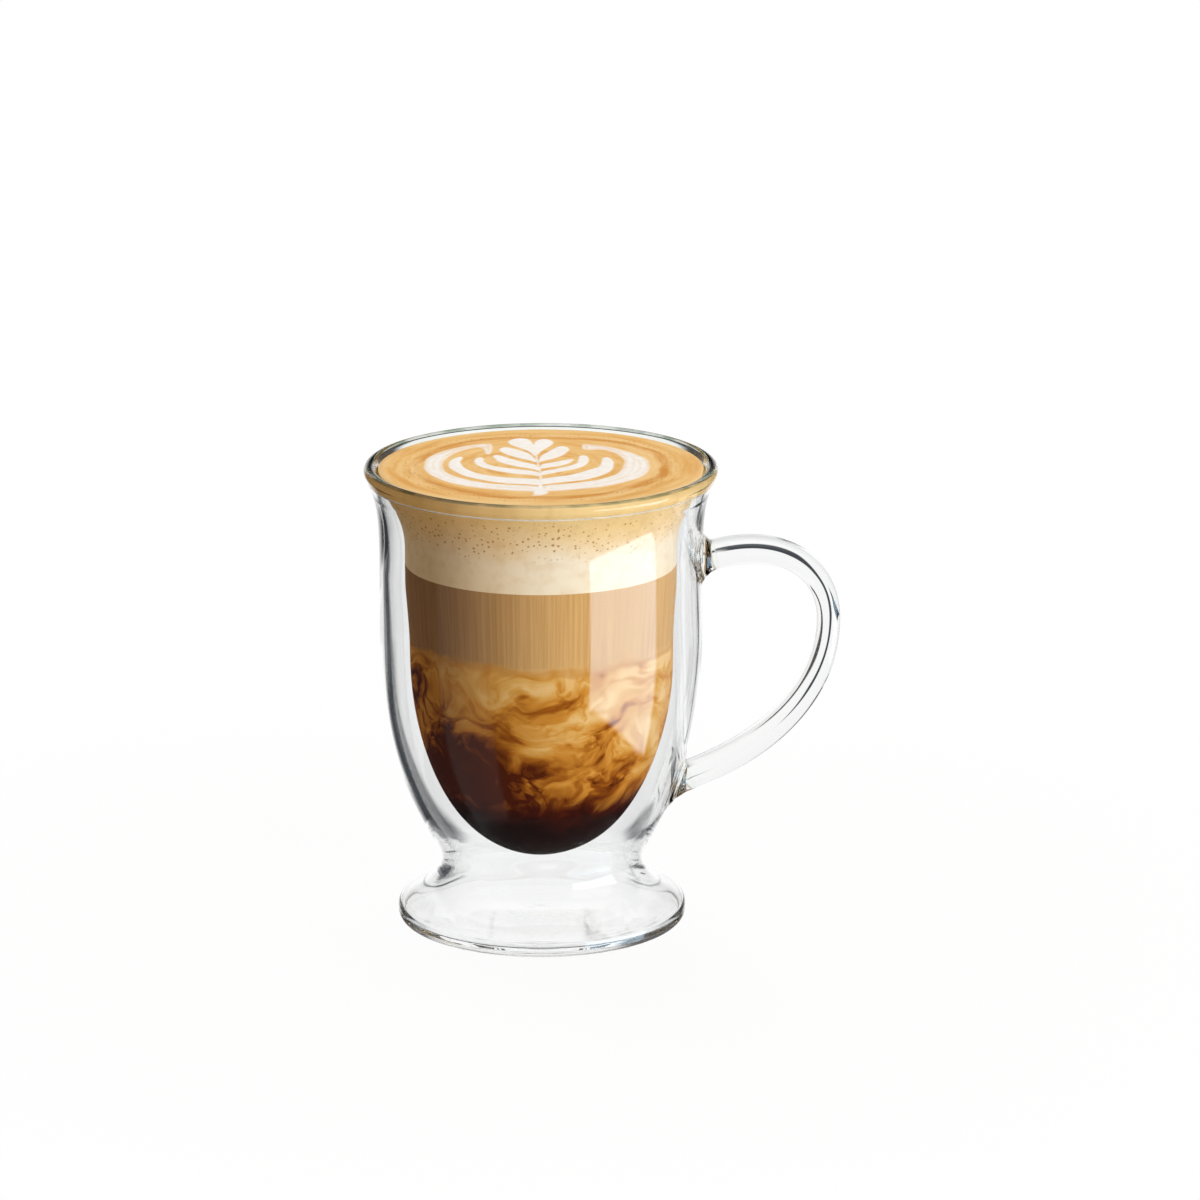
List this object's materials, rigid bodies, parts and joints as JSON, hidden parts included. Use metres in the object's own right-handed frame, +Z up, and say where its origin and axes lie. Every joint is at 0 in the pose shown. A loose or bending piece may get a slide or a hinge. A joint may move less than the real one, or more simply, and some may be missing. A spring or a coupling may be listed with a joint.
{
  "type": "double walled latte mug",
  "caption": "Footed double-walled glass mug with a welded strap handle, filled with a layered latte that lifts out as one drink.",
  "frame": {"origin": "on the mug's axis, at the plane that the foot stands on", "axes": "+Z up along the mug's axis, +X from the axis towards the handle"},
  "size_m": [0.1195, 0.0884, 0.118],
  "materials": {
    "clear_glass": "clear fire-polished borosilicate glass",
    "espresso": "dark liquid, smooth",
    "marbled_coffee": "liquid marbled with milk",
    "milk_coffee": "milky liquid with faint streaks",
    "milk_foam": "fine foam",
    "crema": "fine froth",
    "latte_art": "white milk foam"
  },
  "bodies": {
    "mug": {"outer_shell": "clear_glass", "inner_bell": "clear_glass", "lip_bead": "clear_glass", "base_disc": "clear_glass", "vent_seal": "clear_glass", "handle_strap": "clear_glass", "handle_upper_weld": "clear_glass", "handle_lower_weld": "clear_glass"},
    "drink": {"espresso": "espresso", "marbled_coffee": "marbled_coffee", "milk_coffee": "milk_coffee", "milk_foam": "milk_foam", "crema": "crema", "latte_art": "latte_art"}
  },
  "joints": [
    {"name": "drink_lift", "type": "slide", "parent": "mug", "child": "drink", "axis": [0, 0, 1], "range_m": [0, 0.13]}
  ]
}
